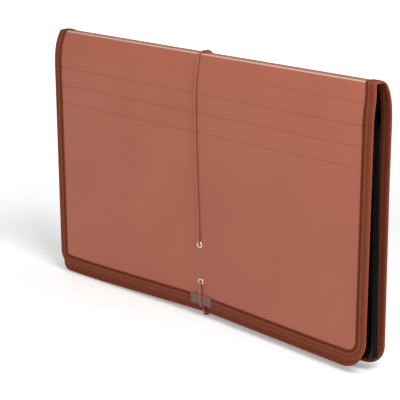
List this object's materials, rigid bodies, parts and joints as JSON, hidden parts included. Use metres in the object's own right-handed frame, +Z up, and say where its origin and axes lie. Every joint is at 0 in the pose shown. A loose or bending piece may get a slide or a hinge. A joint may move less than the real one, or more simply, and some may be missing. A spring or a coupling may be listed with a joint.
{
  "type": "accordion file folder",
  "caption": "Flat expanding document file with pleated sides, divided pockets, a long scored flap with ribbon-bound edges and an elastic closing cord.",
  "frame": {"origin": "on the floor, in the middle of the overall width and depth of the closed file", "axes": "+X to the right seen from the front, +Y to the back, +Z up"},
  "size_m": [0.376, 0.0292, 0.2422],
  "materials": {
    "cover_sheet": "satin polypropylene sheet",
    "ribbon": "ribbed woven ribbon, stitched",
    "pleat_film": "satin film",
    "divider_sheet": "satin sheet",
    "tab_sheet": "clear sleeve with a blank card",
    "elastic_cord": "braided elastic",
    "eyelet_metal": "bright nickel",
    "tag_cloth": "plain woven tag, bare"
  },
  "bodies": {
    "back": {"back_panel": "cover_sheet", "back_binding": "ribbon", "elastic_back_run": "elastic_cord", "elastic_bottom_run": "elastic_cord"},
    "crest": {"spine": "cover_sheet", "spine_binding": "ribbon", "elastic_crest_run": "elastic_cord"},
    "strip_1": {"flap_strip_1": "cover_sheet", "flap_strip_1_binding": "ribbon"},
    "strip_2": {"flap_strip_2": "cover_sheet", "flap_strip_2_binding": "ribbon"},
    "strip_3": {"flap_strip_3": "cover_sheet", "flap_strip_3_binding": "ribbon"},
    "flap": {"flap_panel": "cover_sheet", "flap_binding": "ribbon", "flap_eyelets": "eyelet_metal", "flap_tag": "tag_cloth", "elastic_flap_run": "elastic_cord"},
    "front": {"front_panel": "cover_sheet", "front_binding": "ribbon"},
    "leaf_1": {"divider_1": "divider_sheet", "index_tab_1": "tab_sheet"},
    "leaf_2": {"divider_2": "divider_sheet", "index_tab_2": "tab_sheet"},
    "leaf_3": {"divider_3": "divider_sheet", "index_tab_3": "tab_sheet"},
    "leaf_4": {"divider_4": "divider_sheet", "index_tab_4": "tab_sheet"},
    "pleat_right_1_rear": {"pleat_right_1_rear": "pleat_film"},
    "pleat_left_1_rear": {"pleat_left_1_rear": "pleat_film"},
    "pleat_base_1_rear": {"pleat_base_1_rear": "pleat_film"},
    "pleat_right_1_front": {"pleat_right_1_front": "pleat_film"},
    "pleat_left_1_front": {"pleat_left_1_front": "pleat_film"},
    "pleat_base_1_front": {"pleat_base_1_front": "pleat_film"},
    "pleat_right_2_rear": {"pleat_right_2_rear": "pleat_film"},
    "pleat_left_2_rear": {"pleat_left_2_rear": "pleat_film"},
    "pleat_base_2_rear": {"pleat_base_2_rear": "pleat_film"},
    "pleat_right_2_front": {"pleat_right_2_front": "pleat_film"},
    "pleat_left_2_front": {"pleat_left_2_front": "pleat_film"},
    "pleat_base_2_front": {"pleat_base_2_front": "pleat_film"},
    "pleat_right_3_rear": {"pleat_right_3_rear": "pleat_film"},
    "pleat_left_3_rear": {"pleat_left_3_rear": "pleat_film"},
    "pleat_base_3_rear": {"pleat_base_3_rear": "pleat_film"},
    "pleat_right_3_front": {"pleat_right_3_front": "pleat_film"},
    "pleat_left_3_front": {"pleat_left_3_front": "pleat_film"},
    "pleat_base_3_front": {"pleat_base_3_front": "pleat_film"},
    "pleat_right_4_rear": {"pleat_right_4_rear": "pleat_film"},
    "pleat_left_4_rear": {"pleat_left_4_rear": "pleat_film"},
    "pleat_base_4_rear": {"pleat_base_4_rear": "pleat_film"},
    "pleat_right_4_front": {"pleat_right_4_front": "pleat_film"},
    "pleat_left_4_front": {"pleat_left_4_front": "pleat_film"},
    "pleat_base_4_front": {"pleat_base_4_front": "pleat_film"},
    "pleat_right_5_rear": {"pleat_right_5_rear": "pleat_film"},
    "pleat_left_5_rear": {"pleat_left_5_rear": "pleat_film"},
    "pleat_base_5_rear": {"pleat_base_5_rear": "pleat_film"},
    "pleat_right_5_front": {"pleat_right_5_front": "pleat_film"},
    "pleat_left_5_front": {"pleat_left_5_front": "pleat_film"},
    "pleat_base_5_front": {"pleat_base_5_front": "pleat_film"}
  },
  "joints": [
    {"name": "expand", "type": "slide", "parent": "back", "child": "leaf_1", "axis": [0, -1, 0], "range_m": [0, 0.008], "stiffness_N_per_m": 200, "deforming": ["elastic_crest_run", "elastic_bottom_run"]},
    {"name": "expand_leaf_2", "type": "slide", "parent": "leaf_1", "child": "leaf_2", "axis": [0, -1, 0], "range_m": [0, 0.008]},
    {"name": "expand_leaf_3", "type": "slide", "parent": "leaf_2", "child": "leaf_3", "axis": [0, -1, 0], "range_m": [0, 0.008]},
    {"name": "expand_leaf_4", "type": "slide", "parent": "leaf_3", "child": "leaf_4", "axis": [0, -1, 0], "range_m": [0, 0.008]},
    {"name": "expand_front", "type": "slide", "parent": "leaf_4", "child": "front", "axis": [0, -1, 0], "range_m": [0, 0.008]},
    {"name": "flap_open", "type": "hinge", "parent": "back", "child": "crest", "pos_m": [0, 0.0057, 0.2395], "axis": [-1, 0, 0], "range_deg": [0, 180], "deforming": ["elastic_crest_run"]},
    {"name": "crease_1", "type": "hinge", "parent": "crest", "child": "strip_1", "pos_m": [0, -0.0063, 0.2395], "axis": [-1, 0, 0], "range_deg": [0, 65.53]},
    {"name": "crease_2", "type": "hinge", "parent": "strip_1", "child": "strip_2", "pos_m": [0, -0.0119, 0.206], "axis": [1, 0, 0], "range_deg": [0, 20.53]},
    {"name": "crease_3", "type": "hinge", "parent": "strip_2", "child": "strip_3", "pos_m": [0, -0.0119, 0.189], "axis": [1, 0, 0], "range_deg": [0, 30.02]},
    {"name": "crease_4", "type": "hinge", "parent": "strip_3", "child": "flap", "pos_m": [0, -0.0119, 0.172], "axis": [1, 0, 0], "range_deg": [0, 15.02]},
    {"name": "fold_right_1_rear", "type": "hinge", "parent": "back", "child": "pleat_right_1_rear", "pos_m": [0.1768, 0.0105, 0.1], "axis": [0, 0, 1], "range_deg": [0, 19.54]},
    {"name": "fold_left_1_rear", "type": "hinge", "parent": "back", "child": "pleat_left_1_rear", "pos_m": [-0.1768, 0.0105, 0.1], "axis": [0, 0, -1], "range_deg": [0, 19.54]},
    {"name": "fold_base_1_rear", "type": "hinge", "parent": "back", "child": "pleat_base_1_rear", "pos_m": [0, 0.0105, 0.0112], "axis": [1, 0, 0], "range_deg": [0, 19.54]},
    {"name": "fold_right_1_front", "type": "hinge", "parent": "leaf_1", "child": "pleat_right_1_front", "pos_m": [0.1768, 0.0095, 0.1], "axis": [0, 0, -1], "range_deg": [0, 19.54]},
    {"name": "fold_left_1_front", "type": "hinge", "parent": "leaf_1", "child": "pleat_left_1_front", "pos_m": [-0.1768, 0.0095, 0.1], "axis": [0, 0, 1], "range_deg": [0, 19.54]},
    {"name": "fold_base_1_front", "type": "hinge", "parent": "leaf_1", "child": "pleat_base_1_front", "pos_m": [0, 0.0095, 0.0112], "axis": [-1, 0, 0], "range_deg": [0, 19.54]},
    {"name": "fold_right_2_rear", "type": "hinge", "parent": "leaf_1", "child": "pleat_right_2_rear", "pos_m": [0.1768, 0.0083, 0.1], "axis": [0, 0, 1], "range_deg": [0, 19.54]},
    {"name": "fold_left_2_rear", "type": "hinge", "parent": "leaf_1", "child": "pleat_left_2_rear", "pos_m": [-0.1768, 0.0083, 0.1], "axis": [0, 0, -1], "range_deg": [0, 19.54]},
    {"name": "fold_base_2_rear", "type": "hinge", "parent": "leaf_1", "child": "pleat_base_2_rear", "pos_m": [0, 0.0083, 0.0112], "axis": [1, 0, 0], "range_deg": [0, 19.54]},
    {"name": "fold_right_2_front", "type": "hinge", "parent": "leaf_2", "child": "pleat_right_2_front", "pos_m": [0.1768, 0.0073, 0.1], "axis": [0, 0, -1], "range_deg": [0, 19.54]},
    {"name": "fold_left_2_front", "type": "hinge", "parent": "leaf_2", "child": "pleat_left_2_front", "pos_m": [-0.1768, 0.0073, 0.1], "axis": [0, 0, 1], "range_deg": [0, 19.54]},
    {"name": "fold_base_2_front", "type": "hinge", "parent": "leaf_2", "child": "pleat_base_2_front", "pos_m": [0, 0.0073, 0.0112], "axis": [-1, 0, 0], "range_deg": [0, 19.54]},
    {"name": "fold_right_3_rear", "type": "hinge", "parent": "leaf_2", "child": "pleat_right_3_rear", "pos_m": [0.1768, 0.0061, 0.1], "axis": [0, 0, 1], "range_deg": [0, 19.54]},
    {"name": "fold_left_3_rear", "type": "hinge", "parent": "leaf_2", "child": "pleat_left_3_rear", "pos_m": [-0.1768, 0.0061, 0.1], "axis": [0, 0, -1], "range_deg": [0, 19.54]},
    {"name": "fold_base_3_rear", "type": "hinge", "parent": "leaf_2", "child": "pleat_base_3_rear", "pos_m": [0, 0.0061, 0.0112], "axis": [1, 0, 0], "range_deg": [0, 19.54]},
    {"name": "fold_right_3_front", "type": "hinge", "parent": "leaf_3", "child": "pleat_right_3_front", "pos_m": [0.1768, 0.0051, 0.1], "axis": [0, 0, -1], "range_deg": [0, 19.54]},
    {"name": "fold_left_3_front", "type": "hinge", "parent": "leaf_3", "child": "pleat_left_3_front", "pos_m": [-0.1768, 0.0051, 0.1], "axis": [0, 0, 1], "range_deg": [0, 19.54]},
    {"name": "fold_base_3_front", "type": "hinge", "parent": "leaf_3", "child": "pleat_base_3_front", "pos_m": [0, 0.0051, 0.0112], "axis": [-1, 0, 0], "range_deg": [0, 19.54]},
    {"name": "fold_right_4_rear", "type": "hinge", "parent": "leaf_3", "child": "pleat_right_4_rear", "pos_m": [0.1768, 0.0039, 0.1], "axis": [0, 0, 1], "range_deg": [0, 19.54]},
    {"name": "fold_left_4_rear", "type": "hinge", "parent": "leaf_3", "child": "pleat_left_4_rear", "pos_m": [-0.1768, 0.0039, 0.1], "axis": [0, 0, -1], "range_deg": [0, 19.54]},
    {"name": "fold_base_4_rear", "type": "hinge", "parent": "leaf_3", "child": "pleat_base_4_rear", "pos_m": [0, 0.0039, 0.0112], "axis": [1, 0, 0], "range_deg": [0, 19.54]},
    {"name": "fold_right_4_front", "type": "hinge", "parent": "leaf_4", "child": "pleat_right_4_front", "pos_m": [0.1768, 0.0029, 0.1], "axis": [0, 0, -1], "range_deg": [0, 19.54]},
    {"name": "fold_left_4_front", "type": "hinge", "parent": "leaf_4", "child": "pleat_left_4_front", "pos_m": [-0.1768, 0.0029, 0.1], "axis": [0, 0, 1], "range_deg": [0, 19.54]},
    {"name": "fold_base_4_front", "type": "hinge", "parent": "leaf_4", "child": "pleat_base_4_front", "pos_m": [0, 0.0029, 0.0112], "axis": [-1, 0, 0], "range_deg": [0, 19.54]},
    {"name": "fold_right_5_rear", "type": "hinge", "parent": "leaf_4", "child": "pleat_right_5_rear", "pos_m": [0.1768, 0.0017, 0.1], "axis": [0, 0, 1], "range_deg": [0, 22.23]},
    {"name": "fold_left_5_rear", "type": "hinge", "parent": "leaf_4", "child": "pleat_left_5_rear", "pos_m": [-0.1768, 0.0017, 0.1], "axis": [0, 0, -1], "range_deg": [0, 22.23]},
    {"name": "fold_base_5_rear", "type": "hinge", "parent": "leaf_4", "child": "pleat_base_5_rear", "pos_m": [0, 0.0017, 0.0112], "axis": [1, 0, 0], "range_deg": [0, 19.54]},
    {"name": "fold_right_5_front", "type": "hinge", "parent": "front", "child": "pleat_right_5_front", "pos_m": [0.1768, -0.0068, 0.1], "axis": [0, 0, -1], "range_deg": [0, 22.23]},
    {"name": "fold_left_5_front", "type": "hinge", "parent": "front", "child": "pleat_left_5_front", "pos_m": [-0.1768, -0.0068, 0.1], "axis": [0, 0, 1], "range_deg": [0, 22.23]},
    {"name": "fold_base_5_front", "type": "hinge", "parent": "front", "child": "pleat_base_5_front", "pos_m": [0, 0.0002, 0.0112], "axis": [-1, 0, 0], "range_deg": [0, 19.54]}
  ],
  "couplings": [
    {"joint": "expand_leaf_2", "follows": "expand", "ratio": 1},
    {"joint": "expand_leaf_3", "follows": "expand", "ratio": 1},
    {"joint": "expand_leaf_4", "follows": "expand", "ratio": 1},
    {"joint": "expand_front", "follows": "expand", "ratio": 1},
    {"joint": "crease_1", "follows": "expand", "rad_per_m": 142.92},
    {"joint": "crease_2", "follows": "expand", "rad_per_m": 44.746},
    {"joint": "crease_3", "follows": "expand", "rad_per_m": 65.45},
    {"joint": "crease_4", "follows": "expand", "rad_per_m": 32.725},
    {"joint": "fold_right_1_rear", "follows": "expand", "rad_per_m": 42.578},
    {"joint": "fold_left_1_rear", "follows": "expand", "rad_per_m": 42.578},
    {"joint": "fold_base_1_rear", "follows": "expand", "rad_per_m": 42.578},
    {"joint": "fold_right_1_front", "follows": "expand", "rad_per_m": 42.578},
    {"joint": "fold_left_1_front", "follows": "expand", "rad_per_m": 42.578},
    {"joint": "fold_base_1_front", "follows": "expand", "rad_per_m": 42.578},
    {"joint": "fold_right_2_rear", "follows": "expand", "rad_per_m": 42.578},
    {"joint": "fold_left_2_rear", "follows": "expand", "rad_per_m": 42.578},
    {"joint": "fold_base_2_rear", "follows": "expand", "rad_per_m": 42.578},
    {"joint": "fold_right_2_front", "follows": "expand", "rad_per_m": 42.578},
    {"joint": "fold_left_2_front", "follows": "expand", "rad_per_m": 42.578},
    {"joint": "fold_base_2_front", "follows": "expand", "rad_per_m": 42.578},
    {"joint": "fold_right_3_rear", "follows": "expand", "rad_per_m": 42.578},
    {"joint": "fold_left_3_rear", "follows": "expand", "rad_per_m": 42.578},
    {"joint": "fold_base_3_rear", "follows": "expand", "rad_per_m": 42.578},
    {"joint": "fold_right_3_front", "follows": "expand", "rad_per_m": 42.578},
    {"joint": "fold_left_3_front", "follows": "expand", "rad_per_m": 42.578},
    {"joint": "fold_base_3_front", "follows": "expand", "rad_per_m": 42.578},
    {"joint": "fold_right_4_rear", "follows": "expand", "rad_per_m": 42.578},
    {"joint": "fold_left_4_rear", "follows": "expand", "rad_per_m": 42.578},
    {"joint": "fold_base_4_rear", "follows": "expand", "rad_per_m": 42.578},
    {"joint": "fold_right_4_front", "follows": "expand", "rad_per_m": 42.578},
    {"joint": "fold_left_4_front", "follows": "expand", "rad_per_m": 42.578},
    {"joint": "fold_base_4_front", "follows": "expand", "rad_per_m": 42.578},
    {"joint": "fold_right_5_rear", "follows": "expand", "rad_per_m": 48.449},
    {"joint": "fold_left_5_rear", "follows": "expand", "rad_per_m": 48.449},
    {"joint": "fold_base_5_rear", "follows": "expand", "rad_per_m": 42.578},
    {"joint": "fold_right_5_front", "follows": "expand", "rad_per_m": 48.449},
    {"joint": "fold_left_5_front", "follows": "expand", "rad_per_m": 48.449},
    {"joint": "fold_base_5_front", "follows": "expand", "rad_per_m": 42.578}
  ]
}
